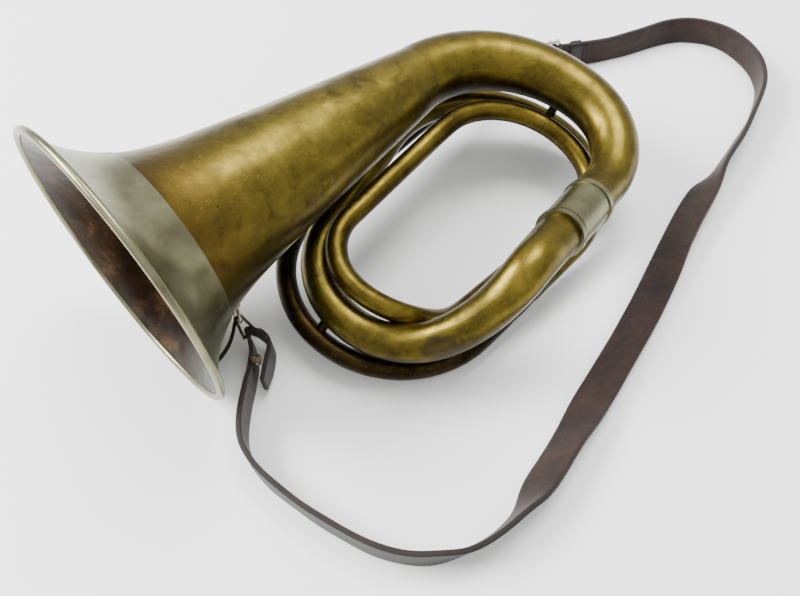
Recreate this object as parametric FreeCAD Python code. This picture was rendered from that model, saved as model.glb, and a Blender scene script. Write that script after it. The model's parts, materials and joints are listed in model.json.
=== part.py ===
import FreeCAD, Part
import math
import os
from collections import namedtuple

V = FreeCAD.Vector

os.makedirs("parts", exist_ok=True)

# Signal bugle of three turns, lying on its side, with its leather strap.
# Horn frame while it is built: bell axis along +X from the mouth, turns at -Y,
# upper side of the coil at +Z.  Then it is leaned over onto the table, and the
# middle of its base becomes the origin.

# ---- driving dimensions, mm and degrees ----
BELL_R = 71.0            # bell mouth, half of the 142 mm bell
BELL_LENGTH = 183.5      # mouth to the start of the first bow
THROAT_R = 17.4          # bell tube where the first bow starts
CONE = 0.14              # growth of the radius per mm toward the mouth
FLARE = 27.9             # what the flare adds at the mouth
FLARE_REACH = 16.0       # distance over which the flare dies away
WALL = 0.8               # sheet brass
TILT = 2.18              # bell axis dips toward the bows
ROLL = 12.15             # coil leans until its lower turn meets the table

RIM_R = 1.8              # rolled edge around its wire
RIM_WIRE_R = 0.9
GARLAND_WIDTH = 26.5     # nickel-silver band at the mouth
GARLAND_THICK = 0.6

FERRULE_START = 18.0     # after the first bow's end
FERRULE_LENGTH = 29.0
FERRULE_THICK = 1.0
FERRULE_RING_THICK = 1.7
FERRULE_RING_WIDTH = 3.6

MOUTHPIPE_END = V(286.5, 6.8, -42.8)
RECEIVER_LENGTH = 30.0
RECEIVER_R = 6.9
RECEIVER_RING_R = 8.2
RECEIVER_RING_WIDTH = 5.0
SOCKET_R = 4.9           # bore that takes the mouthpiece shank
SOCKET_DEPTH = 20.0

LUG_PLATE_R = 6.0        # soldered foot plates
LUG_PLATE_THICK = 1.0
EYE_R = 2.7              # eyes bent from wire, to the wire's middle
EYE_WIRE_R = 0.9

STRAP_WIDTH = 17.0
STRAP_THICK = 2.6

STEP = 1.5               # sampling of the centre line
STATION = 7.0            # spacing of the tube's cross sections
SMOOTH = 8               # samples on each side when the rise is evened out

# Each bow is two arcs about a centre in the coil plane: one from the straight
# that enters it to its outermost point, one from there on.  rise: (share of the
# bow, height above the bell axis).
Bow = namedtuple("Bow", "name x y r_in r_out far_side rise tube_in tube_out")
RIGHT = 0.0
LEFT = -math.pi
BOWS = [
    Bow("first", 183.5, -67.0, 67.0, 42.5, RIGHT, ((0, 0), (1, -3)), 17.4, 11.6),
    Bow("second", 123.5, -68.0, 53.0, 43.5, LEFT,
        ((0, 20), (0.12, 2), (0.25, -14), (0.37, -23), (0.5, -27), (1, -28)), 10.4, 8.0),
    Bow("third", 183.5, -67.0, 64.8, 40.0, RIGHT, ((0, -30), (1, -34)), 7.4, 6.6),
    Bow("fourth", 121.0, -63.8, 40.2, 27.6, LEFT,
        ((0, -39.5), (0.25, -22), (0.37, -16.5), (0.5, -14.5), (1, -13)), 5.5, 5.4),
    Bow("fifth", 184.2, -76.4, 47.2, 43.7, RIGHT, ((0, -5), (1, -26.7)), 5.4, 5.3),
    Bow("sixth", 116.4, -63.1, 59.0, 54.7, LEFT, ((0, -35.2), (1, -43.2)), 5.3, 5.3),
]


# ---- centre line of the tube behind the bell ----
def flat(radius, angle):
    return V(radius * math.cos(angle), radius * math.sin(angle), 0)


def leaving_angle(centre_1, r_1, centre_2, r_2):
    """Angle on both circles where the straight run touches them (clockwise travel)."""
    gap = centre_2 - centre_1
    heading = math.atan2(gap.y, gap.x) + math.asin((r_2 - r_1) / gap.Length)
    return heading + math.pi / 2


def wrapped(angle, low):
    while angle < low:
        angle += 2 * math.pi
    while angle >= low + 2 * math.pi:
        angle -= 2 * math.pi
    return angle


def arc_points(centre, radius, angle_0, angle_1):
    count = max(2, round(abs(angle_1 - angle_0) * radius / STEP))
    return [centre + flat(radius, angle_0 + (angle_1 - angle_0) * i / count)
            for i in range(count + 1)]


def line_points(start, end):
    count = max(2, round((end - start).Length / STEP))
    return [start + (end - start) * (i / count) for i in range(count + 1)]


def at_share(knots, share):
    for (share_0, value_0), (share_1, value_1) in zip(knots, knots[1:]):
        if share <= share_1:
            part = (share - share_0) / (share_1 - share_0)
            return value_0 + (value_1 - value_0) * part
    return knots[-1][1]


def centre_line():
    """Samples (point, tube radius) and the index where each bow starts and ends."""
    samples = []
    marks = {}

    def add(points, knots, tube_0, tube_1):
        for i, point in enumerate(points):
            share = i / (len(points) - 1)
            height = at_share(knots, share)
            tube = tube_0 + (tube_1 - tube_0) * share
            if i or not samples:
                samples.append((V(point.x, point.y, height), tube))

    angle_in = math.pi / 2
    for i, bow in enumerate(BOWS):
        centre_in = V(bow.x, bow.y, 0)
        centre_out = centre_in + flat(bow.r_in - bow.r_out, bow.far_side)
        if i + 1 < len(BOWS):
            after = BOWS[i + 1]
            next_centre, next_r = V(after.x, after.y, 0), after.r_in
            next_rise, next_tube = after.rise[0][1], after.tube_in
        else:
            next_centre, next_r = V(MOUTHPIPE_END.x, MOUTHPIPE_END.y, 0), 0
            next_rise, next_tube = MOUTHPIPE_END.z, bow.tube_out
        angle_out = leaving_angle(centre_out, bow.r_out, next_centre, next_r)
        start = wrapped(angle_in, bow.far_side)
        end = wrapped(angle_out, bow.far_side - 2 * math.pi)
        curve = arc_points(centre_in, bow.r_in, start, bow.far_side)
        curve += arc_points(centre_out, bow.r_out, bow.far_side, end)[1:]
        marks[bow.name + "_start"] = max(0, len(samples) - 1)
        add(curve, bow.rise, bow.tube_in, bow.tube_out)
        marks[bow.name + "_end"] = len(samples) - 1
        run = line_points(curve[-1], next_centre + flat(next_r, angle_out))
        add(run, ((0, bow.rise[-1][1]), (1, next_rise)), bow.tube_out, next_tube)
        angle_in = angle_out
    marks["pipe_end"] = len(samples) - 1
    return samples, marks


def evened(samples):
    """The same samples with their heights averaged over their neighbours."""
    smooth = []
    for i, (point, tube) in enumerate(samples):
        reach = min(SMOOTH, i, len(samples) - 1 - i)
        near = samples[i - reach:i + reach + 1]
        height = sum(p.z for p, _ in near) / len(near)
        smooth.append((V(point.x, point.y, height), tube))
    return smooth


LINE, MARK = centre_line()
LINE = evened(LINE)


def heading_at(i):
    """Unit vector along the tube at sample i; straight along the bell axis at the first."""
    if i == 0:
        return V(1, 0, 0)
    after = LINE[min(i + 1, len(LINE) - 1)][0]
    return (after - LINE[i - 1][0]).normalize()


def section(i, extra):
    point, tube = LINE[i]
    along = heading_at(i)
    up = V(0, 0, 1) - along * along.z
    ring = Part.Circle(point, along, tube + extra)
    ring.XAxis = up.normalize()
    return Part.Wire([ring.toShape()])


def solid_run(first, last, extra):
    """The tube between two samples as a solid bar, its radius grown by extra."""
    count = max(2, round((last - first) * STEP / STATION))
    rings = [section(round(first + (last - first) * k / count), extra)
             for k in range(count + 1)]
    return Part.makeLoft(rings, True, False)


def hollow_run(first, last, outside, inside):
    return solid_run(first, last, outside).cut(solid_run(first, last, inside))


def samples_in(length):
    return round(length / STEP)


def middle(name_1, name_2):
    return (MARK[name_1] + MARK[name_2]) // 2


# ---- bell ----
def bell_radius(x):
    cone = THROAT_R + CONE * (BELL_LENGTH - x)
    flare = math.exp(-x / FLARE_REACH) - math.exp(-BELL_LENGTH / FLARE_REACH)
    return cone + FLARE * flare


def bell_curve(x_0, x_1, extra):
    count = 24
    points = []
    for i in range(count + 1):
        share = (i / count) ** 2
        x = x_0 + (x_1 - x_0) * share
        points.append(V(x, bell_radius(x) + extra, 0))
    curve = Part.BSplineCurve()
    curve.interpolate(points)
    return curve.toShape(), points[0], points[-1]


def bell_shell(x_0, x_1, outside, inside):
    """Turned sheet between two offsets of the bell's profile."""
    outer, outer_0, outer_1 = bell_curve(x_0, x_1, outside)
    inner, inner_0, inner_1 = bell_curve(x_0, x_1, inside)
    edges = [outer, Part.makeLine(outer_1, inner_1), inner, Part.makeLine(inner_0, outer_0)]
    face = Part.Face(Part.Wire(Part.__sortEdges__(edges)))
    return face.revolve(V(0, 0, 0), V(1, 0, 0), 360)


def bell_bar(x_0, x_1, outside):
    outer, outer_0, outer_1 = bell_curve(x_0, x_1, outside)
    foot_0, foot_1 = V(x_0, 0, 0), V(x_1, 0, 0)
    edges = [outer, Part.makeLine(outer_1, foot_1), Part.makeLine(foot_1, foot_0),
             Part.makeLine(foot_0, outer_0)]
    face = Part.Face(Part.Wire(Part.__sortEdges__(edges)))
    return face.revolve(V(0, 0, 0), V(1, 0, 0), 360)


RIM_CENTRE_R = BELL_R - RIM_R


def rim_torus(tube):
    return Part.makeTorus(RIM_CENTRE_R, tube, V(RIM_R, 0, 0), V(1, 0, 0))


def make_bell():
    return bell_shell(RIM_R, BELL_LENGTH, 0, -WALL).cut(rim_torus(RIM_R))


def make_garland():
    return bell_shell(RIM_R, GARLAND_WIDTH, GARLAND_THICK, 0).cut(rim_torus(RIM_R))


def make_rim_roll():
    return rim_torus(RIM_R).cut(rim_torus(RIM_WIRE_R))


# ---- ferrule on the straight after the first bow ----
FERRULE_FIRST = MARK["first_end"] + samples_in(FERRULE_START)
FERRULE_LAST = FERRULE_FIRST + samples_in(FERRULE_LENGTH)
FERRULE_MIDDLE = (FERRULE_FIRST + FERRULE_LAST) // 2


def make_ferrule():
    width = samples_in(FERRULE_RING_WIDTH)
    return hollow_run(FERRULE_FIRST + width, FERRULE_LAST, FERRULE_THICK, 0)


def make_ferrule_ring(first):
    """Band with a turned groove round its middle."""
    width = samples_in(FERRULE_RING_WIDTH)
    return hollow_run(first, first + width, FERRULE_RING_THICK, 0)


# ---- receiver ----
PIPE_DIRECTION = heading_at(len(LINE) - 1)
PIPE_END = LINE[-1][0]
PIPE_R = LINE[-1][1]


def along_pipe(radius, back, length):
    """Cylinder on the mouthpipe's axis that starts back from its end."""
    return Part.makeCylinder(radius, length, PIPE_END - PIPE_DIRECTION * back, PIPE_DIRECTION)


def make_mouthpipe():
    end = len(LINE) - 1 - samples_in(SOCKET_DEPTH)
    return hollow_run(MARK["sixth_end"] + 6, end, 0, -WALL)


def make_receiver():
    sleeve = along_pipe(RECEIVER_R, RECEIVER_LENGTH, RECEIVER_LENGTH)
    sleeve = sleeve.cut(along_pipe(PIPE_R + 0.02, RECEIVER_LENGTH, RECEIVER_LENGTH - SOCKET_DEPTH + 0.5))
    return sleeve.cut(along_pipe(SOCKET_R, SOCKET_DEPTH, SOCKET_DEPTH))


def make_receiver_ring():
    ring = along_pipe(RECEIVER_RING_R, RECEIVER_RING_WIDTH, RECEIVER_RING_WIDTH)
    ring = ring.makeFillet(1.9, [e for e in ring.Edges if e.Length > RECEIVER_RING_R * 6])
    return ring.cut(along_pipe(RECEIVER_R, RECEIVER_RING_WIDTH, RECEIVER_RING_WIDTH))


# ---- solder stays between neighbouring turns ----
STAY_R = 2.6
BELL_STAY_X = 122.0


def stay(first, search_0, search_1):
    """Round stay from one sample to the nearest one in another stretch of tube."""
    start = LINE[first][0]
    nearest = min(range(search_0, search_1), key=lambda i: (LINE[i][0] - start).Length)
    gap = LINE[nearest][0] - start
    post = Part.makeCylinder(STAY_R, gap.Length, start, gap)
    for i in (first, nearest):
        post = post.cut(solid_run(max(0, i - 9), i + 9, 0))
    return post


def bell_stay(x):
    """Stay from the underside of the bell tube down to the mouthpipe."""
    start = V(x, 0, 0)
    nearest = min(range(MARK["sixth_end"], MARK["pipe_end"] - 9),
                  key=lambda i: (LINE[i][0] - start).Length)
    gap = LINE[nearest][0] - start
    post = Part.makeCylinder(STAY_R, gap.Length, start, gap)
    post = post.cut(bell_bar(x - 20, min(BELL_LENGTH, x + 20), 0))
    return post.cut(solid_run(nearest - 9, nearest + 9, 0))


# ---- the horn leans over onto the table ----
LEAN = FreeCAD.Rotation(V(0, 1, 0), TILT) * FreeCAD.Rotation(V(1, 0, 0), ROLL)


def leaned(shape):
    turned = shape.copy()
    turned.Placement = FreeCAD.Placement(V(0, 0, 0), LEAN) * turned.Placement
    return turned


COIL_JOINTS = {
    "first_bow": (0, FERRULE_MIDDLE),
    "second_bow": (FERRULE_MIDDLE, middle("second_end", "third_start")),
    "third_bow": (middle("second_end", "third_start"), middle("third_end", "fourth_start")),
    "inner_turn": (middle("third_end", "fourth_start"), middle("fifth_end", "sixth_start")),
    "sixth_bow": (middle("fifth_end", "sixth_start"), MARK["sixth_end"] + 6),
}

horn = {"bell": make_bell(), "garland": make_garland(), "rim_roll": make_rim_roll(),
        "rim_wire": rim_torus(RIM_WIRE_R - 0.02)}
for node, (first, last) in COIL_JOINTS.items():
    horn[node] = hollow_run(first, last, 0, -WALL)
horn["mouthpipe"] = make_mouthpipe()
horn["inner_turn"] = horn["inner_turn"].cut(solid_run(*COIL_JOINTS["second_bow"], 0.05))
horn["mouthpipe"] = horn["mouthpipe"].cut(solid_run(*COIL_JOINTS["third_bow"], 0.05))
horn["ferrule"] = make_ferrule()
horn["ferrule_upper_ring"] = make_ferrule_ring(FERRULE_FIRST)
horn["ferrule_lower_ring"] = make_ferrule_ring(FERRULE_LAST + 1).cut(horn["second_bow"])
horn["receiver"] = make_receiver().cut(horn["mouthpipe"])
horn["receiver_ring"] = make_receiver_ring()
horn["stay_right"] = stay(MARK["first_start"] + 60, MARK["third_start"], MARK["third_end"])
horn["stay_inner"] = stay(MARK["fifth_start"] + 48, MARK["third_start"], MARK["third_end"])
horn["stay_left"] = stay(MARK["second_start"] + 62, MARK["sixth_start"], MARK["sixth_end"])
horn["stay_bell"] = bell_stay(BELL_STAY_X)

SIDE_PLATE_X = 86.0      # small patch plate on the far side of the bell tube
SIDE_PLATE_ANGLE = 12.0
FRONT_LUG_X = 38.0
FRONT_LUG_ANGLE = -127.5


def bell_side(angle):
    return V(0, math.cos(math.radians(angle)), math.sin(math.radians(angle)))


def bell_plate(x, angle, radius):
    """Thin round plate that follows the bell's outside."""
    skin = bell_shell(x - 15, x + 15, LUG_PLATE_THICK, 0)
    cutter = Part.makeCylinder(radius, 2 * BELL_R, V(x, 0, 0), bell_side(angle))
    return skin.common(cutter)


def eye_at(centre, axis):
    return Part.makeTorus(EYE_R, EYE_WIRE_R, centre, axis)


horn["side_plate"] = bell_plate(SIDE_PLATE_X, SIDE_PLATE_ANGLE, 5.0)
front_out = bell_side(FRONT_LUG_ANGLE)
front_eye = V(FRONT_LUG_X, 0, 0) + front_out * (bell_radius(FRONT_LUG_X) + 3.0)
front_lug = bell_plate(FRONT_LUG_X, FRONT_LUG_ANGLE, LUG_PLATE_R)
front_wire = eye_at(front_eye, V(1, 0, 0)).cut(bell_bar(FRONT_LUG_X - 20, FRONT_LUG_X + 20, 0))
horn["front_lug"] = front_lug.fuse(front_wire)

horn = {node: leaned(shape) for node, shape in horn.items()}



def extents(shapes):
    box = FreeCAD.BoundBox()
    for shape in shapes:
        box.add(shape.optimalBoundingBox(False))
    return box


# ---- the horn's lowest point stands on the table, z = 0; x and y stay at the mouth's centre ----
LIFT = V(0, 0, -extents(horn.values()).ZMin)
for shape in horn.values():
    shape.translate(LIFT)


def placed(point):
    """A horn-frame point after the lean and the lift."""
    return LEAN.multVec(point) + LIFT



def turned_to(direction, away_from):
    """The part of direction square to away_from, as a unit vector."""
    return (direction - away_from * direction.dot(away_from)).normalize()


def rod(points, radius):
    """Bent wire: straight lengths with round elbows."""
    shape = Part.makeSphere(radius, points[0])
    for start, end in zip(points, points[1:]):
        shape = shape.fuse(Part.makeCylinder(radius, (end - start).Length, start, end - start))
        shape = shape.fuse(Part.makeSphere(radius, end))
    return shape


# ---- front snap hook, hanging in the lug's eye ----
HOOK_WIRE_R = 0.85
HOOK_LOOP_R = 3.0
HOOK_SHANK_R = 1.7
HOOK_SHANK_LENGTH = 3.0
HOOK_EYE_R = 2.9
GATE_R = 0.6
GATE_HALF = 2.2
LINK_WIRE_R = 0.75

hook_top = placed(front_eye)
hook_down = (V(34.0, -21.5, 17.0) - hook_top).normalize()
hook_side = turned_to(V(1, 0, 0), hook_down)
hook_front = hook_down.cross(hook_side)
loop_centre = hook_top + hook_down * HOOK_LOOP_R
shank_top = loop_centre + hook_down * HOOK_LOOP_R
hook_eye = shank_top + hook_down * (HOOK_SHANK_LENGTH + HOOK_EYE_R - 0.3)


def make_front_snap():
    loop = Part.makeTorus(HOOK_LOOP_R, HOOK_WIRE_R, loop_centre, hook_front)
    gap = Part.makeBox(4, 2 * GATE_HALF, 4, V(0, -GATE_HALF, -2))
    turn = FreeCAD.Rotation(hook_side, hook_down, hook_front, "XYZ")
    gap.Placement = FreeCAD.Placement(loop_centre + hook_side * 1.0, turn) * gap.Placement
    shank = Part.makeCylinder(HOOK_SHANK_R, HOOK_SHANK_LENGTH, shank_top, hook_down)
    eye = Part.makeTorus(HOOK_EYE_R, HOOK_WIRE_R, hook_eye, hook_side)
    return loop.cut(gap).fuse(shank).fuse(eye)


def make_snap_gate():
    """Spring gate that closes the hook's gap."""
    return Part.makeCylinder(GATE_R, 2 * GATE_HALF - 0.3, gate_pivot, hook_down * -1)


link_top = hook_eye + hook_down * 0.1
gate_pivot = loop_centre + hook_side * (HOOK_LOOP_R - 0.55) + hook_down * (GATE_HALF - 0.15)
link_left, link_right = V(30.5, -29.0, 12.5), V(37.5, -28.0, 12.5)


def make_front_link():
    corners = [link_left, link_top - hook_side * 1.7, link_top + hook_side * 1.7,
               link_right, link_left]
    return rod(corners, LINK_WIRE_R)


# ---- rear lug under the receiver, its ring and the buckle ----
REAR_LUG_BACK = 10.0
REAR_RING_R = 8.4
REAR_RING_WIRE_R = 0.9
RING_DROP = 0.5
BUCKLE_WIRE_R = 1.3
BUCKLE_LOW, BUCKLE_HIGH = 1.7, 21.4
PRONG_R = 1.0
PRONG_Z = 15.0

pipe_end = placed(PIPE_END)
pipe_way = LEAN.multVec(PIPE_DIRECTION)
lug_root = pipe_end - pipe_way * REAR_LUG_BACK
under = turned_to(V(0, 0, -1), pipe_way)
rear_eye = lug_root + under * (RECEIVER_R + 3.0)
ring_way = V(0.88, -0.475, 0).normalize()
ring_centre = rear_eye + ring_way * (REAR_RING_R - RING_DROP)
near_bar = ring_centre + ring_way * (REAR_RING_R - REAR_RING_WIRE_R - BUCKLE_WIRE_R - 0.2)
near_bar = V(near_bar.x, near_bar.y, 0)
far_bar = V(304.0, -4.0, 0)
buckle_way = (far_bar - near_bar).normalize()
buckle_out = V(-buckle_way.y, buckle_way.x, 0)


def make_rear_lug():
    saddle = Part.makeCylinder(RECEIVER_R + LUG_PLATE_THICK, 8, lug_root - pipe_way * 4, pipe_way)
    saddle = saddle.common(Part.makeCylinder(4, 2 * RECEIVER_R, lug_root, under))
    eye = eye_at(rear_eye, V(0.2, 0.98, 0))
    core = Part.makeCylinder(RECEIVER_R, 16, lug_root - pipe_way * 8, pipe_way)
    return saddle.fuse(eye).cut(core)


def make_rear_ring():
    return Part.makeTorus(REAR_RING_R, REAR_RING_WIRE_R, ring_centre, V(0, 0, 1))


def make_buckle_frame():
    low, high = V(0, 0, BUCKLE_LOW), V(0, 0, BUCKLE_HIGH)
    corners = [near_bar + low, near_bar + high, far_bar + high, far_bar + low, near_bar + low]
    return rod(corners, BUCKLE_WIRE_R)


def make_buckle_prong():
    """Prong that turns on the far bar and rests on the outside of the near one."""
    height = 3.0
    foot = far_bar + V(0, 0, PRONG_Z - height / 2)
    eye = Part.makeCylinder(BUCKLE_WIRE_R + 1.2, height, foot)
    tip = near_bar + buckle_out * (BUCKLE_WIRE_R + PRONG_R + 0.25) - buckle_way * 2
    tip = tip + V(0, 0, PRONG_Z)
    root = far_bar + buckle_out * (BUCKLE_WIRE_R + 0.6) + V(0, 0, PRONG_Z)
    bar = Part.makeCylinder(PRONG_R, (tip - root).Length, root, tip - root)
    bore = Part.makeCylinder(BUCKLE_WIRE_R + 0.08, height + 2, foot - V(0, 0, 1))
    return eye.fuse(bar).fuse(Part.makeSphere(PRONG_R, tip)).cut(bore)


# ---- strap: route along the table from the buckle round to the bell ----
STRAP_ROUTE = [(306.4, -5.7), (325, -19), (346, -27.5), (373, -36), (386, -62), (378, -96),
               (352, -113), (312, -125), (262, -137), (205, -160), (150, -176), (105, -189),
               (62, -199), (22, -180), (3, -141), (-10, -100), (-4, -72), (15.5, -51.5)]
STRAP_LOW = 1.1
FOLD_R = 3.8


def rounded_route(points):
    """Straight runs joined by tangent arcs; also the arcs' radii."""
    edges = []
    radii = []
    start = points[0]
    for before, corner, after in zip(points, points[1:], points[2:]):
        way_in = (corner - before).normalize()
        way_out = (after - corner).normalize()
        shorter = min((corner - before).Length, (after - corner).Length)
        reach = 0.45 * shorter
        half_turn = way_in.getAngle(way_out) / 2
        radii.append(reach / math.tan(half_turn))
        arc_start, arc_end = corner - way_in * reach, corner + way_out * reach
        bulge = (way_out - way_in).normalize()
        sagitta = radii[-1] * (1 / math.cos(half_turn) - 1)
        edges.append(Part.makeLine(start, arc_start))
        edges.append(Part.Arc(arc_start, corner + bulge * sagitta, arc_end).toShape())
        start = arc_end
    edges.append(Part.makeLine(start, points[-1]))
    return Part.Wire(edges), radii


def band_section(centre, along, thick, high):
    side = turned_to(V(-along.y, along.x, 0), V(0, 0, 1))
    corners = [centre + side * (thick / 2 * a) + V(0, 0, high / 2 * b)
               for a, b in ((-1, -1), (1, -1), (1, 1), (-1, 1), (-1, -1))]
    return Part.makePolygon(corners)


def make_strap():
    middle_z = STRAP_LOW + STRAP_WIDTH / 2
    points = [V(x, y, middle_z) for x, y in STRAP_ROUTE]
    route, radii = rounded_route(points)
    sweep = Part.BRepOffsetAPI.MakePipeShell(route)
    sweep.setBiNormalMode(V(0, 0, 1))
    sweep.add(band_section(points[0], points[1] - points[0], STRAP_THICK, STRAP_WIDTH))
    sweep.build()
    sweep.makeSolid()
    strap = sweep.shape().cut(Part.makeCylinder(FOLD_R, 2 * STRAP_WIDTH, far_bar))
    area = STRAP_THICK * STRAP_WIDTH
    print("strap arc radii", [round(r, 1) for r in radii])
    print("strap length", round(route.Length, 1), "volume", round(strap.Volume),
          "section x length", round(area * route.Length))
    return strap


def make_strap_fold():
    """Leather turned round the buckle's far bar, below and above the prong."""
    low, high = 3.5, STRAP_LOW + STRAP_WIDTH
    fold = Part.makeCylinder(FOLD_R, high - low, far_bar + V(0, 0, low))
    fold = fold.cut(Part.makeCylinder(BUCKLE_WIRE_R + 0.15, high, far_bar + V(0, 0, low - 1)))
    return fold.cut(Part.makeCylinder(6, 4.0, far_bar + V(0, 0, PRONG_Z - 2.0)))


STUD_FOOT = V(26.5, -46.5, 14.0)
STUD_SHANK_R = 1.2
STUD_SHANK_LENGTH = 3.8
LOOP_STATIONS = [(34.0, -26.6, 12.4, 5.0, 4.6), (34.6, -31.5, 11.4, 7.0, 7.5),
                 (34.5, -37.0, 10.4, 10.0, 10.5), (32.0, -42.5, 9.8, 10.5, 13.5),
                 (25.5, -48.0, 9.6, 7.5, 15.5), (15.5, -51.5, 9.6, 5.0, 17.0)]


def make_strap_loop():
    """Folded leather end between the strap and the wire link."""
    centres = [V(x, y, z) for x, y, z, _, _ in LOOP_STATIONS]
    rings = []
    for i, (_, _, _, thick, high) in enumerate(LOOP_STATIONS):
        along = centres[min(i + 1, len(centres) - 1)] - centres[max(i - 1, 0)]
        rings.append(band_section(centres[i], along, thick, high))
    loop = Part.makeLoft(rings, True, False)
    link_room = rod([link_left, link_top, link_right, link_left], LINK_WIRE_R + 0.3)
    stud_hole = Part.makeCylinder(STUD_SHANK_R, STRAP_WIDTH, STUD_FOOT)
    room = Part.makeBox(80, 80, STRAP_WIDTH, V(-20, -80, STRAP_LOW))
    return loop.common(room).cut(link_room).cut(stud_hole)


def make_strap_stud():
    head = Part.makeCylinder(2.6, 1.4, STUD_FOOT + V(0, 0, STUD_SHANK_LENGTH))
    return head.fuse(Part.makeCylinder(STUD_SHANK_R, STUD_SHANK_LENGTH, STUD_FOOT))


def make_strap_keeper():
    """Leather loop that holds the strap's end, just after the buckle."""
    start, end = V(*STRAP_ROUTE[0], 0), V(*STRAP_ROUTE[1], 0)
    along = (end - start).normalize()
    centre = start + along * 6 + V(0, 0, STRAP_LOW + STRAP_WIDTH / 2)
    sizes = (STRAP_THICK + 3.2, STRAP_WIDTH + 2.0), (STRAP_THICK + 0.2, STRAP_WIDTH + 0.2)
    rings = []
    for thick, high in sizes:
        face = Part.Face(band_section(centre, along, thick, high))
        rings.append(face.extrude(along * 7))
    return rings[0].cut(rings[1])


THONG_STATIONS = [(33.0, -17.5, 12.0), (27.5, -23.0, 10.5), (17.5, -25.5, 7.0), (8.0, -26.0, 4.0)]


def make_strap_thong():
    """Thin leather thong that hangs beside the link."""
    curve = Part.BSplineCurve()
    curve.interpolate([V(*p) for p in THONG_STATIONS])
    route = Part.Wire([curve.toShape()])
    sweep = Part.BRepOffsetAPI.MakePipeShell(route)
    sweep.setBiNormalMode(V(0, 0, 1))
    start, ahead = V(*THONG_STATIONS[0]), curve.tangent(curve.FirstParameter)[0]
    sweep.add(band_section(start, ahead, 2.4, 3.6))
    sweep.build()
    sweep.makeSolid()
    return sweep.shape()


loose = {
    "front_snap": make_front_snap(),
    "snap_gate": make_snap_gate(),
    "front_link": make_front_link(),
    "rear_lug": make_rear_lug(),
    "rear_ring": make_rear_ring(),
    "buckle_frame": make_buckle_frame(),
    "buckle_prong": make_buckle_prong(),
    "strap": make_strap(),
    "strap_fold": make_strap_fold(),
    "strap_stud": make_strap_stud(),
    "strap_keeper": make_strap_keeper(),
    "strap_thong": make_strap_thong(),
}

loose["strap_loop"] = make_strap_loop().cut(loose["strap"])

# ---- origin: middle of the base of everything but the strap and what it carries ----
STRAP_NODES = ["buckle_frame", "buckle_prong", "strap", "strap_fold", "strap_loop", "strap_stud",
               "strap_keeper", "strap_thong"]
pieces = {**horn, **loose}
box = extents(shape for node, shape in pieces.items() if node not in STRAP_NODES)
ORIGIN = V(box.Center.x, box.Center.y, 0)

for node, shape in pieces.items():
    shape.translate(ORIGIN * -1)
    shape.exportStep("parts/" + node + ".step")
    print(node, round(shape.Volume, 1), "solids", len(shape.Solids), "valid", shape.isValid())
print("origin from the mouth's centre", ORIGIN, "lift", LIFT)
print("socket mouth", pipe_end - ORIGIN, "pointing", pipe_way)
print("hook", hook_top - ORIGIN, "gate", gate_pivot - ORIGIN, "gate axis", hook_front)
print("link bar", (link_left + link_right) / 2 - ORIGIN, "along", link_right - link_left)
print("ring", ring_centre - ORIGIN, "far bar", far_bar - ORIGIN, "near bar", near_bar - ORIGIN)
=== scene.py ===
"""A coiled brass bugle on a pale table, with its leather shoulder strap."""
import json
import math

import bmesh
import bpy
from mathutils import Matrix, Vector


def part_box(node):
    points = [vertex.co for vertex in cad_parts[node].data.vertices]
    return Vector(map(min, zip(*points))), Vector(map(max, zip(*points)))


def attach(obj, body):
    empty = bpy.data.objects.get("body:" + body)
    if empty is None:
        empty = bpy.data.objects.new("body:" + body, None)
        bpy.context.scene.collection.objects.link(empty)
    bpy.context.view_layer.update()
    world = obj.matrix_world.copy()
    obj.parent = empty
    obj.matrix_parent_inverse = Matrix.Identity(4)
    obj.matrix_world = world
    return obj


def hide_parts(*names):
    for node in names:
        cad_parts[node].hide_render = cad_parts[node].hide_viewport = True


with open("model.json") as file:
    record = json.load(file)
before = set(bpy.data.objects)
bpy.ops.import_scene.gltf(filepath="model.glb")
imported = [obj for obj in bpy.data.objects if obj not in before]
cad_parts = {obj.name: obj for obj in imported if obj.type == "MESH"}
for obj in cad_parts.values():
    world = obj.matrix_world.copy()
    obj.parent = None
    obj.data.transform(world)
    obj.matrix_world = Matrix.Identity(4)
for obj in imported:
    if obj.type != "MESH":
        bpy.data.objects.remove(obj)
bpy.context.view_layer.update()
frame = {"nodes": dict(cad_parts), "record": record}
NODES = frame["nodes"]
MM = 0.001


# ---------------------------------------------------------------- camera
LENS = 32.679
CAMERA_PLACE = Vector((-0.17212, -0.19643, 0.32395))
CAMERA_RIGHT = Vector((0.719311, -0.692635, -0.053374))
CAMERA_UP = Vector((0.601212, 0.582188, 0.547358))

camera_data = bpy.data.cameras.new("camera")
camera_data.sensor_width = 36.0
camera_data.lens = LENS
camera_data.clip_start = 0.01
camera = bpy.data.objects.new("camera", camera_data)
bpy.context.scene.collection.objects.link(camera)
camera_turn = Matrix((CAMERA_RIGHT, CAMERA_UP, CAMERA_RIGHT.cross(CAMERA_UP))).transposed()
camera.matrix_world = Matrix.Translation(CAMERA_PLACE) @ camera_turn.to_4x4()
bpy.context.scene.camera = camera


# ---------------------------------------------------------------- small helpers
def linear(hex_colour):
    """sRGB hex to the linear colour a shader wants."""
    channels = [int(hex_colour[i:i + 2], 16) / 255 for i in (1, 3, 5)]
    return [c / 12.92 if c <= 0.04045 else ((c + 0.055) / 1.055) ** 2.4 for c in channels] + [1]


def add(tree, kind, links=None, inputs=None, **settings):
    """Adds one shader node with its settings, input values and incoming links."""
    made = tree.nodes.new(kind)
    for key, value in settings.items():
        setattr(made, key, value)
    for key, value in (inputs or {}).items():
        made.inputs[key].default_value = value
    for key, source in (links or {}).items():
        tree.links.new(source, made.inputs[key])
    return made


def new_material(name):
    material = bpy.data.materials.new(name)
    material.use_nodes = True
    tree = material.node_tree
    shader = tree.nodes["Principled BSDF"]
    place = add(tree, "ShaderNodeTexCoord").outputs["Object"]
    return material, tree, shader, place


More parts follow.
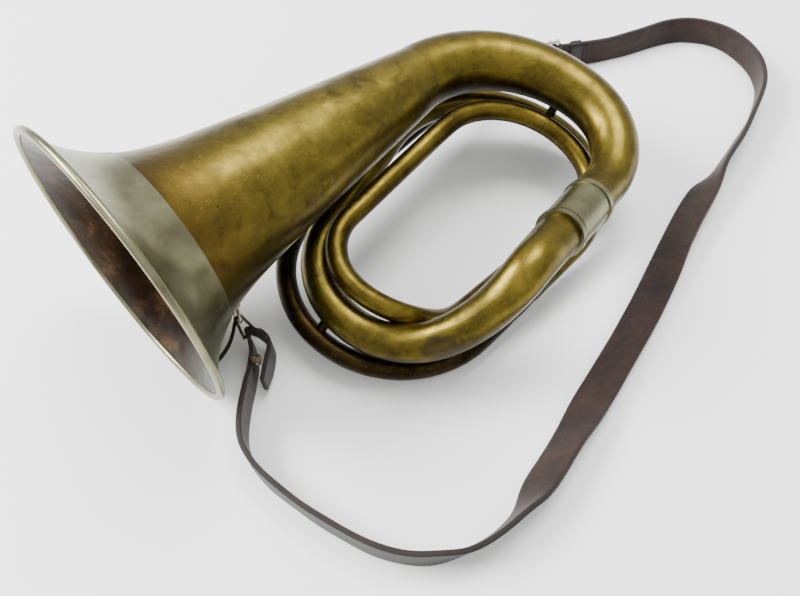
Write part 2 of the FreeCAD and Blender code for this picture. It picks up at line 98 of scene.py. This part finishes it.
def ramp(tree, source, stops, interpolation="LINEAR"):
    """Colour ramp: stops are (position, colour)."""
    made = add(tree, "ShaderNodeValToRGB", {"Fac": source})
    made.color_ramp.interpolation = interpolation
    elements = made.color_ramp.elements
    while len(elements) < len(stops):
        elements.new(0.5)
    for element, (position, colour) in zip(elements, stops):
        element.position = position
        element.color = colour
    return made.outputs["Color"]


def grey(value):
    return (value, value, value, 1)


def noise(tree, place, size, detail=4.0, roughness=0.55, distortion=0.0):
    """Noise whose features are about size metres across."""
    inputs = {"Scale": 1 / size, "Detail": detail, "Roughness": roughness,
              "Distortion": distortion}
    return add(tree, "ShaderNodeTexNoise", {"Vector": place}, inputs).outputs["Fac"]


def mix(tree, factor, first, second, blend="MIX"):
    """Colour mix; factor, first and second are sockets or plain values."""
    made = add(tree, "ShaderNodeMix", data_type="RGBA", blend_type=blend)
    for socket, value in ((made.inputs[0], factor), (made.inputs[6], first),
                          (made.inputs[7], second)):
        if isinstance(value, bpy.types.NodeSocket):
            tree.links.new(value, socket)
        else:
            socket.default_value = value
    return made.outputs[2]


def maths(tree, operation, first, second=0.0, clamp=False):
    made = add(tree, "ShaderNodeMath", operation=operation, use_clamp=clamp)
    for socket, value in zip(made.inputs, (first, second)):
        if isinstance(value, bpy.types.NodeSocket):
            tree.links.new(value, socket)
        else:
            socket.default_value = value
    return made.outputs[0]


def spot(tree, place, centre, reach):
    """1 at a point, falling to 0 at reach metres from it."""
    apart = add(tree, "ShaderNodeVectorMath", {0: place}, {1: centre}, operation="DISTANCE")
    return add(tree, "ShaderNodeMapRange", {"Value": apart.outputs["Value"]},
               {"From Min": 0.0, "From Max": reach, "To Min": 1.0, "To Max": 0.0},
               interpolation_type="SMOOTHSTEP").outputs["Result"]


def stretched(tree, place, scale):
    """Coordinates squeezed along some axes, for grain and scratches with a direction."""
    return add(tree, "ShaderNodeMapping", {"Vector": place}, {"Scale": scale}).outputs["Vector"]


def bump(tree, shader, height, depth, strength=1.0, under=None):
    links = {"Height": height}
    if under is not None:
        links["Normal"] = under
    made = add(tree, "ShaderNodeBump", links, {"Strength": strength, "Distance": depth})
    tree.links.new(made.outputs["Normal"], shader.inputs["Normal"])
    return made.outputs["Normal"]


def scratches(tree, place, gap, length, turn):
    """Thin broken lines about gap apart and length long, in one direction."""
    turned = add(tree, "ShaderNodeMapping", {"Vector": place},
                 {"Rotation": turn, "Scale": (1 / length, 1 / gap, 1 / gap)}).outputs["Vector"]
    lines = add(tree, "ShaderNodeTexNoise", {"Vector": turned},
                {"Scale": 1.0, "Detail": 2.0, "Roughness": 0.5}).outputs["Fac"]
    return ramp(tree, lines, [(0.66, grey(0)), (0.72, grey(1))])


# ---------------------------------------------------------------- metal finishes
def aged_brass(name, worn, patina, stain, patina_share, roughness, wear_seed):
    """Sheet brass with decades of patina: bright where hands rub it, olive brown elsewhere."""
    material, tree, shader, place = new_material(name)
    shifted = add(tree, "ShaderNodeMapping", {"Vector": place},
                  {"Location": (wear_seed, 0, 0)}).outputs["Vector"]
    clouds = noise(tree, shifted, 45 * MM, 6, 0.62, 0.4)
    mottle = noise(tree, shifted, 7 * MM, 8, 0.7)
    blend = maths(tree, "ADD", maths(tree, "MULTIPLY", clouds, 0.62),
                  maths(tree, "MULTIPLY", mottle, 0.38))
    cover = ramp(tree, blend, [(patina_share - 0.14, grey(0)), (patina_share + 0.14, grey(1))])
    colour = mix(tree, cover, linear(patina), linear(worn))
    blotches = ramp(tree, noise(tree, shifted, 18 * MM, 5, 0.6, 1.2),
                    [(0.56, grey(0)), (0.74, grey(1))])
    colour = mix(tree, maths(tree, "MULTIPLY", blotches, 0.6), colour, linear(stain))
    pits = add(tree, "ShaderNodeTexVoronoi", {"Vector": shifted}, {"Scale": 1 / (6 * MM)})
    pit_size = maths(tree, "MULTIPLY", noise(tree, shifted, 30 * MM, 2), 0.16)
    pit_mask = maths(tree, "LESS_THAN", pits.outputs["Distance"], pit_size)
    pit_mask = maths(tree, "MULTIPLY", pit_mask,
                     ramp(tree, noise(tree, shifted, 22 * MM, 3), [(0.55, grey(0)), (0.62, grey(1))]))
    colour = mix(tree, maths(tree, "MULTIPLY", pit_mask, 0.75), colour, linear("#241a0c"))
    marks = scratches(tree, shifted, 0.6 * MM, 26 * MM, (0.3, 0.2, 0.5))
    marks_across = scratches(tree, shifted, 0.7 * MM, 15 * MM, (0.1, 0.7, -0.7))
    lines = maths(tree, "MAXIMUM", marks, marks_across)
    colour = mix(tree, maths(tree, "MULTIPLY", lines, 0.14), colour, linear("#b39f58"))
    fine = noise(tree, shifted, 1.6 * MM, 3, 0.6)
    rough = add(tree, "ShaderNodeMapRange", {"Value": cover},
                {"To Min": roughness + 0.13, "To Max": roughness}).outputs["Result"]
    rough = maths(tree, "ADD", rough, maths(tree, "MULTIPLY", fine, 0.08))
    tree.links.new(rough, shader.inputs["Roughness"])
    shader.inputs["Metallic"].default_value = 1.0
    dents = noise(tree, shifted, 24 * MM, 2, 0.4)
    surface = bump(tree, shader, dents, 2.2 * MM, 0.6)
    surface = bump(tree, shader, maths(tree, "SUBTRACT", fine, lines), 0.05 * MM, 0.5, surface)
    return material, tree, shader, place, colour, rough, surface


def finish_colour(tree, shader, colour):
    tree.links.new(colour, shader.inputs["Base Color"])


def bell_brass():
    """Spun bell brass: olive outside, red-brown by the garland, and darkened inside with painted shade in
    mottled dark brown.
    """
    material, tree, shader, place, colour, rough, surface = aged_brass(
        "bell_brass", "#7a6b2c", "#40381a", "#2f2310", 0.47, 0.24, 0.0)
    low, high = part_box("garland")
    edge = high[0]
    along = add(tree, "ShaderNodeSeparateXYZ", {"Vector": place}).outputs["X"]
    near_garland = add(tree, "ShaderNodeMapRange", {"Value": along},
                       {"From Min": edge, "From Max": edge + 45 * MM,
                        "To Min": 0.6, "To Max": 0.0}).outputs["Result"]
    patchy = maths(tree, "MULTIPLY", near_garland,
                   ramp(tree, noise(tree, place, 14 * MM, 6, 0.65), [(0.3, grey(0.25)), (0.6, grey(1))]))
    colour = mix(tree, patchy, colour, linear("#4e3018"))
    bell_low, bell_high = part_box("bell")
    axis_y = (bell_low[1] + bell_high[1]) / 2
    axis_z = (bell_low[2] + bell_high[2]) / 2
    from_axis = add(tree, "ShaderNodeVectorMath", {0: place}, {1: (0, axis_y, axis_z)},
                    operation="SUBTRACT").outputs["Vector"]
    outward = add(tree, "ShaderNodeVectorMath", {0: from_axis}, {1: (0, 1, 1)},
                  operation="MULTIPLY").outputs["Vector"]
    facing = add(tree, "ShaderNodeNewGeometry").outputs["Normal"]
    side = add(tree, "ShaderNodeVectorMath", {0: outward, 1: facing},
               operation="DOT_PRODUCT").outputs["Value"]
    inside = maths(tree, "LESS_THAN", side, 0.0)
    # painted shade: faces turned in towards the bell's axis are darkened to mottled dark brown
    painted_inner_shade = ramp(tree, noise(tree, place, 20 * MM, 7, 0.65, 0.6),
                [(0.35, linear("#100a06")), (0.55, linear("#281b10")), (0.75, linear("#553c1e"))])
    colour = mix(tree, inside, colour, painted_inner_shade)
    finish_colour(tree, shader, colour)
    return material


def plain_brass(name, worn, patina, stain, patina_share, roughness, wear_seed, underside_shade=0.0,
                dent=None):
    """Bow brass; the argument after wear_seed sets how strongly the sides turned down to the table are
    darkened with painted shade, broken up by noise.

    dent is the middle of a flattened, greyed patch with a ragged edge.
    """
    material, tree, shader, place, colour, rough, surface = aged_brass(
        name, worn, patina, stain, patina_share, roughness, wear_seed)
    facing = add(tree, "ShaderNodeNewGeometry").outputs["Normal"]
    upward = add(tree, "ShaderNodeSeparateXYZ", {"Vector": facing}).outputs["Z"]
    patchy = noise(tree, place, 15 * MM, 5, 0.6)
    turned_down = maths(tree, "ADD", maths(tree, "MULTIPLY", upward, -0.5),
                        maths(tree, "MULTIPLY", patchy, 0.9))
    # painted shade: sides whose normals point down are darkened towards near black, in noisy patches
    underside_shade_mask = ramp(tree, turned_down, [(0.2, grey(0)), (0.62, grey(1))])
    colour = mix(tree, maths(tree, "MULTIPLY", underside_shade_mask, underside_shade), colour, linear("#1d160d"))
    if dent is not None:
        ragged = maths(tree, "ADD", spot(tree, place, dent, 27 * MM),
                       maths(tree, "MULTIPLY", patchy, 0.5))
        pressed = ramp(tree, ragged, [(0.62, grey(0)), (0.76, grey(1))])
        colour = mix(tree, maths(tree, "MULTIPLY", pressed, 0.7), colour, linear("#332c25"))
        sunk = maths(tree, "MULTIPLY", spot(tree, place, dent, 22 * MM), -1.0)
        bump(tree, shader, sunk, 3 * MM, 0.8, surface)
    finish_colour(tree, shader, colour)
    return material


def nickel_silver():
    """German silver sheet: warm grey, dulled by handling, with fine turning lines."""
    material, tree, shader, place = new_material("nickel_silver")
    tarnish = ramp(tree, noise(tree, place, 24 * MM, 7, 0.6, 0.3),
                   [(0.3, linear("#5e5b42")), (0.55, linear("#807e62")), (0.8, linear("#a09e80"))])
    specks = ramp(tree, noise(tree, place, 2.5 * MM, 5, 0.7), [(0.62, grey(0)), (0.72, grey(1))])
    colour = mix(tree, maths(tree, "MULTIPLY", specks, 0.4), tarnish, linear("#6b624a"))
    finish_colour(tree, shader, colour)
    turned = stretched(tree, place, (1 / (0.9 * MM), 1 / (60 * MM), 1 / (60 * MM)))
    lines = add(tree, "ShaderNodeTexNoise", {"Vector": turned},
                {"Scale": 1.0, "Detail": 3.0}).outputs["Fac"]
    marks = scratches(tree, place, 1.2 * MM, 14 * MM, (0.4, 0.1, 0.9))
    smear = noise(tree, place, 12 * MM, 4, 0.6)
    rough = maths(tree, "ADD", maths(tree, "MULTIPLY", smear, 0.22), 0.2)
    tree.links.new(rough, shader.inputs["Roughness"])
    shader.inputs["Metallic"].default_value = 1.0
    surface = bump(tree, shader, noise(tree, place, 30 * MM, 2), 0.5 * MM, 0.4)
    bump(tree, shader, maths(tree, "SUBTRACT", lines, marks), 0.04 * MM, 0.5, surface)
    return material


def bright_plate(name, colour, tarnish, roughness):
    """Small plated fittings: shiny on the crowns, brown where plating has gone."""
    material, tree, shader, place = new_material(name)
    worn = ramp(tree, noise(tree, place, 4 * MM, 6, 0.7), [(0.42, grey(0)), (0.62, grey(1))])
    finish_colour(tree, shader, mix(tree, worn, linear(colour), linear(tarnish)))
    rough = add(tree, "ShaderNodeMapRange", {"Value": worn},
                {"To Min": roughness, "To Max": roughness + 0.25}).outputs["Result"]
    tree.links.new(rough, shader.inputs["Roughness"])
    shader.inputs["Metallic"].default_value = 1.0
    bump(tree, shader, noise(tree, place, 1.2 * MM, 4, 0.6), 0.08 * MM, 0.6)
    return material


# ---------------------------------------------------------------- leather finishes
def leather(name, dark, light, roughness, grain_size, grain_depth, fibre):
    """Bridle leather; fibre above 0 gives the brushed nap of the flesh side."""
    material, tree, shader, place = new_material(name)
    blotch = noise(tree, place, 16 * MM, 6, 0.65, 0.5)
    colour = ramp(tree, blotch, [(0.32, linear(dark)), (0.7, linear(light))])
    nap = noise(tree, stretched(tree, place, (1.0, 1.0, 0.45)), 1.7 * MM, 6, 0.75)
    colour = mix(tree, maths(tree, "MULTIPLY", ramp(tree, nap, [(0.35, grey(1)), (0.55, grey(0))]), fibre),
                 colour, linear("#140c09"))
    finish_colour(tree, shader, colour)
    shader.inputs["Roughness"].default_value = roughness
    shader.inputs["Specular IOR Level"].default_value = 0.3
    shader.inputs["Sheen Weight"].default_value = 0.25 * fibre
    cells = add(tree, "ShaderNodeTexVoronoi", {"Vector": place}, {"Scale": 1 / grain_size},
                feature="DISTANCE_TO_EDGE").outputs["Distance"]
    grain = ramp(tree, cells, [(0.0, grey(0)), (0.12, grey(1))])
    creases = noise(tree, place, 6 * MM, 5, 0.6, 1.5)
    surface = bump(tree, shader, creases, 0.5 * MM, 0.5)
    surface = bump(tree, shader, grain, grain_depth, 0.5, surface)
    bump(tree, shader, nap, 0.25 * MM, 0.3 + 0.6 * fibre, surface)
    return material


# ---------------------------------------------------------------- give the finishes out
BRASS_BELL = bell_brass()
second_low, second_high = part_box("second_bow")
SECOND_BOW_DENT = second_low + (second_high - second_low) * Vector((0.14, 0.1, 0.42))
# the 0.8 and 0.85 after the wear seeds set the painted shade on the sides turned down to the table
BRASS_BOW = plain_brass("bow_brass", "#786828", "#3b3316", "#20180a", 0.49, 0.24, 0.31,
                         0.8, SECOND_BOW_DENT)
BRASS_INNER = plain_brass("inner_brass", "#706024", "#2e2610", "#120d06", 0.49, 0.25, 0.83,
                           0.85)
# painted shade: a much darker copy of the bow brass for the bow lying lowest, under the other coils
BRASS_SHADED_COPY = plain_brass("dark_brass", "#3d3018", "#171109", "#0b0805", 0.56, 0.32, 1.7)
BRASS_RECEIVER = plain_brass("receiver_brass", "#746427", "#3b3216", "#1d150a", 0.47, 0.26, 2.2)
NICKEL_SILVER = nickel_silver()
NICKEL_PLATE = bright_plate("nickel_plate", "#d6d0c2", "#7c6d52", 0.16)
DARK_WIRE = bright_plate("dark_wire", "#4a443c", "#231c15", 0.38)
LEATHER_GRAIN = leather("leather_grain_side", "#0b0706", "#1c120e", 0.5, 0.9 * MM, 0.05 * MM, 0.1)
LEATHER_FLESH = leather("leather_flesh_side", "#170d0a", "#332018", 0.85, 1.4 * MM, 0.05 * MM, 0.55)
LEATHER_EDGE = leather("leather_cut_edge", "#0e0806", "#22150f", 0.65, 1.1 * MM, 0.08 * MM, 0.4)

FINISH = {"bell_brass": BRASS_BELL, "nickel_silver": NICKEL_SILVER, "steel_wire": DARK_WIRE,
          "bow_brass": BRASS_BOW, "inner_brass": BRASS_INNER, "dark_brass": BRASS_SHADED_COPY,
          "receiver_brass": BRASS_RECEIVER, "nickel_plate": NICKEL_PLATE, "dark_wire": DARK_WIRE,
          "strap_leather": LEATHER_GRAIN, "thong_leather": LEATHER_GRAIN}

for row in frame["record"]["subparts"]:
    piece = NODES[row["node"]]
    piece.data.materials.clear()
    piece.data.materials.append(FINISH[row["material_slot"]])


# ---------------------------------------------------------------- strap
STRAP_WIDTH = 17 * MM
STRAP_THICK = 2.6 * MM
# x, y from the mouth's centre in mm, then the middle's height, then how far it lies over
STRAP_ROUTE = [(306.4, -5.7, 9.6, 0), (328, -21, 8.9, 0), (351, -32, 8.8, 4), (382, -44, 8.8, 6),
               (395, -72, 8.8, 0), (382, -106, 8.8, 0), (352, -122, 8.7, 0), (308, -131, 9.0, 12),
               (254, -139, 7.4, 62), (194, -158, 4.6, 82), (137, -170, 5.4, 78),
               (91, -179, 8.0, 52), (48, -186, 8.8, 14), (12.5, -165, 8.8, 0), (-1, -127, 8.8, 0),
               (-8, -90, 8.9, 0), (-3, -66, 9.2, 0), (15.5, -51.5, 9.6, 0)]
# the turned-back end: x, y, height, width; out to the wire link, round it and back to the tip
LOOP_ROUTE = [(15.5, -51.5, 9.6, 17), (24, -45, 9.6, 15), (30.5, -36, 10.6, 11),
              (32.5, -29.5, 12.0, 6), (34.2, -26.0, 12.5, 5.0), (36.5, -29.0, 12.2, 6),
              (39.0, -35, 11.0, 10), (38.0, -42, 10.2, 14), (30, -49, 9.8, 15), (22, -55, 9.6, 12)]
THONG_ROUTE = [(33.0, -17.5, 12.0), (29.5, -21.0, 11.5), (23.5, -24.5, 9.0), (16.0, -26.0, 6.5),
               (8.0, -26.0, 4.0)]
MOUTH_X = -0.144118
MOUTH_Y = 0.030279


def on_table(x, y, z):
    """A point given in mm from the mouth's centre."""
    return Vector((MOUTH_X + x * MM, MOUTH_Y + y * MM, z * MM))


def smooth_line(points):
    """The points of the NURBS line that takes the given points as controls."""
    data = bpy.data.curves.new("route", "CURVE")
    data.dimensions = "3D"
    data.resolution_u = 14
    spline = data.splines.new("NURBS")
    spline.points.add(len(points) - 1)
    for control, point in zip(spline.points, points):
        control.co = (*point, 1.0)
    spline.order_u = 3
    spline.use_endpoint_u = True
    carrier = bpy.data.objects.new("route", data)
    bpy.context.scene.collection.objects.link(carrier)
    bpy.context.view_layer.update()
    mesh = bpy.data.meshes.new_from_object(carrier)
    line = [v.co.copy() for v in mesh.vertices]
    bpy.data.objects.remove(carrier)
    bpy.data.meshes.remove(mesh)
    return line


def carried(line, points, values):
    """Values given at the route's points, eased along the line between them."""
    shares = []
    for point in line:
        weights = [1 / max((point - p).length, 1e-6) ** 3 for p in points]
        shares.append(sum(w * v for w, v in zip(weights, values)) / sum(weights))
    return shares


def finished(name, shape, materials, node):
    """Turns a bmesh into a smooth piece that rides on the horn for its CAD solid."""
    mesh = bpy.data.meshes.new(name)
    shape.to_mesh(mesh)
    shape.free()
    for material in materials:
        mesh.materials.append(material)
    for polygon in mesh.polygons:
        polygon.use_smooth = True
    piece = bpy.data.objects.new(name, mesh)
    bpy.context.scene.collection.objects.link(piece)
    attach(piece, "horn")
    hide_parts(node)
    return piece


def thickened(piece, thick, edge):
    """Gives a leather sheet its thickness, its cut edge and its worn corners."""
    skin = piece.modifiers.new("leather_thickness", "SOLIDIFY")
    skin.thickness = thick
    skin.offset = 0.0
    skin.use_even_offset = True
    skin.material_offset = 1
    skin.material_offset_rim = 2
    worn = piece.modifiers.new("worn_edge", "BEVEL")
    worn.width = edge
    worn.segments = 2
    worn.angle_limit = math.radians(50)


def extruded_band(places_at, count):
    """Sheet drawn out row by row: places_at(i) gives the places of row i."""
    shape = bmesh.new()
    row = [shape.verts.new(p) for p in places_at(0)]
    edges = [shape.edges.new(pair) for pair in zip(row, row[1:])]
    for i in range(1, count):
        made = bmesh.ops.extrude_edge_only(shape, edges=edges)["geom"]
        fresh = {g for g in made if isinstance(g, bmesh.types.BMVert)}
        row = [next(e.other_vert(v) for e in v.link_edges if e.other_vert(v) in fresh)
               for v in row]
        for vert, place in zip(row, places_at(i)):
            vert.co = place
        edges = [g for g in made if isinstance(g, bmesh.types.BMEdge)
                 and all(v in fresh for v in g.verts)]
    return shape


def ribbon(line, tilts, widths, ripple=0.0):
    """Leather band along a line; tilt 0 stands it on edge, 90 lays it inner side up."""
    across = 8

    def places_at(i):
        ahead = line[min(i + 1, len(line) - 1)] - line[max(i - 1, 0)]
        outward = Vector((ahead.y, -ahead.x, 0)).normalized() * -1
        turn = math.radians(tilts[i])
        up = Vector((0, 0, 1)) * math.cos(turn) + outward * math.sin(turn)
        face = outward * math.cos(turn) - Vector((0, 0, 1)) * math.sin(turn)
        along = sum((b - a).length for a, b in zip(line[:i], line[1:i + 1])) / MM
        places = []
        for k in range(across + 1):
            share = k / across - 0.5
            wave = math.sin(along / 9.0 + share * 2.0) + 0.6 * math.sin(along / 4.1 - share * 5.0)
            places.append(line[i] + up * widths[i] * share + face * ripple * wave * share)
        return places

    return extruded_band(places_at, len(line))


LEATHER = [LEATHER_FLESH, LEATHER_GRAIN, LEATHER_EDGE]
strap_points = [on_table(x, y, z) for x, y, z, _ in STRAP_ROUTE]
strap_line = smooth_line(strap_points)
strap_tilts = carried(strap_line, strap_points, [t for _, _, _, t in STRAP_ROUTE])
strap = finished("strap_band", ribbon(strap_line, strap_tilts, [STRAP_WIDTH] * len(strap_line), 0.3 * MM),
                 LEATHER, "strap")
thickened(strap, STRAP_THICK, 0.5 * MM)

loop_points = [on_table(x, y, z) for x, y, z, _ in LOOP_ROUTE]
loop_line = smooth_line(loop_points)
loop_widths = [w * MM for w in carried(loop_line, loop_points, [w for _, _, _, w in LOOP_ROUTE])]
loop = finished("strap_turned_end", ribbon(loop_line, [0] * len(loop_line), loop_widths, 0.2 * MM),
                LEATHER, "strap_loop")
thickened(loop, 2.2 * MM, 0.5 * MM)

keeper_low, keeper_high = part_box("strap_keeper")
fold_low, fold_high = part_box("strap_fold")


def leather_sleeve(centre, along, half_thick, half_high, reach):
    """Closed band of leather with rounded corners, drawn out along a direction."""
    side = Vector((-along.y, along.x, 0))
    corners = 32
    shape = bmesh.new()
    bmesh.ops.create_circle(shape, segments=corners, radius=1.0)
    for vert in shape.verts:
        angle = math.atan2(vert.co.y, vert.co.x)
        thick = math.copysign(abs(math.cos(angle)) ** 0.45, math.cos(angle)) * half_thick
        high = math.copysign(abs(math.sin(angle)) ** 0.3, math.sin(angle)) * half_high
        vert.co = centre + side * thick + Vector((0, 0, high)) - along * reach / 2
    made = bmesh.ops.extrude_edge_only(shape, edges=shape.edges[:])["geom"]
    drawn = [g for g in made if isinstance(g, bmesh.types.BMVert)]
    bmesh.ops.translate(shape, verts=drawn, vec=along * reach)
    bmesh.ops.recalc_face_normals(shape, faces=shape.faces[:])
    return shape


strap_way = (strap_line[6] - strap_line[0]).normalized()
strap_way.z = 0
keeper_centre = Vector([(a + b) / 2 for a, b in zip(keeper_low, keeper_high)])
keeper = finished("keeper_band", leather_sleeve(keeper_centre, strap_way, 2.3 * MM,
                                                (keeper_high[2] - keeper_low[2]) / 2 - 0.6 * MM,
                                                7 * MM),
                  [LEATHER_GRAIN, LEATHER_GRAIN, LEATHER_EDGE], "strap_keeper")
thickened(keeper, 1.0 * MM, 0.3 * MM)


def turned_over_bar():
    """Strap end wrapped round the buckle's bar, open where the prong's eye sits."""
    bar = Vector(((fold_low[0] + fold_high[0]) / 2, (fold_low[1] + fold_high[1]) / 2, 0))
    prong_low, prong_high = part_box("buckle_prong")
    whole = bmesh.new()
    spans = ((fold_low[2], prong_low[2] - 0.6 * MM), (prong_high[2] + 0.6 * MM, fold_high[2]))
    for low, high in spans:
        before = set(whole.verts)
        ring = bmesh.ops.create_circle(whole, segments=28, radius=2.65 * MM)["verts"]
        edges = list({e for v in ring for e in v.link_edges})
        bmesh.ops.translate(whole, verts=ring, vec=bar + Vector((0, 0, low)))
        made = bmesh.ops.extrude_edge_only(whole, edges=edges)["geom"]
        drawn = [g for g in made if isinstance(g, bmesh.types.BMVert)]
        bmesh.ops.translate(whole, verts=drawn, vec=(0, 0, high - low))
    bmesh.ops.recalc_face_normals(whole, faces=whole.faces[:])
    return whole


fold = finished("strap_over_bar", turned_over_bar(), [LEATHER_GRAIN, LEATHER_GRAIN, LEATHER_EDGE],
                "strap_fold")
thickened(fold, 2.0 * MM, 0.3 * MM)

thong_points = [on_table(x, y, z) for x, y, z in THONG_ROUTE]
thong_line = smooth_line(thong_points)
thong_widths = [3.6 * MM * (1 - 0.55 * (i / len(thong_line)) ** 2) for i in range(len(thong_line))]
thong = finished("hanging_thong", ribbon(thong_line, [20] * len(thong_line), thong_widths, 0.15 * MM),
                 [LEATHER_GRAIN, LEATHER_GRAIN, LEATHER_EDGE], "strap_thong")
thickened(thong, 1.8 * MM, 0.4 * MM)


# ---------------------------------------------------------------- table and light
def make_floor():
    """Large pale sheet, faintly uneven."""
    material, tree, shader, place = new_material("pale_table")
    tone = ramp(tree, noise(tree, place, 0.35, 3), [(0.3, linear("#edf0ee")), (0.7, linear("#f2f4f2"))])
    finish_colour(tree, shader, tone)
    shader.inputs["Roughness"].default_value = 0.55
    shape = bmesh.new()
    bmesh.ops.create_grid(shape, x_segments=1, y_segments=1, size=3.0)
    mesh = bpy.data.meshes.new("table_top")
    shape.to_mesh(mesh)
    shape.free()
    mesh.materials.append(material)
    floor = bpy.data.objects.new("table_top", mesh)
    bpy.context.scene.collection.objects.link(floor)


def soft_box(name, place, target, size, power, colour):
    light = bpy.data.lights.new(name, "AREA")
    light.shape = "RECTANGLE"
    light.size = size[0]
    light.size_y = size[1]
    light.energy = power
    light.color = colour
    lamp = bpy.data.objects.new(name, light)
    bpy.context.scene.collection.objects.link(lamp)
    lamp.location = place
    lamp.rotation_euler = (Vector(target) - Vector(place)).to_track_quat("-Z", "Y").to_euler()


make_floor()
world = bpy.data.worlds.new("studio")
world.use_nodes = True
bpy.context.scene.world = world
sky = world.node_tree
height = add(sky, "ShaderNodeSeparateXYZ",
             {"Vector": add(sky, "ShaderNodeTexCoord").outputs["Generated"]}).outputs["Z"]
shade = ramp(sky, height, [(0.0, grey(0.4)), (0.35, grey(0.55)), (0.8, grey(0.85))])
sky.links.new(shade, sky.nodes["Background"].inputs["Color"])
sky.nodes["Background"].inputs["Strength"].default_value = 1.8
soft_box("window", (-0.7, 0.9, 1.0), (0, 0, 0), (0.9, 0.6), 60, (1, 1, 1))
soft_box("overhead", (0.5, 0.1, 1.3), (0, 0, 0), (0.7, 0.7), 20, (1, 1, 1))
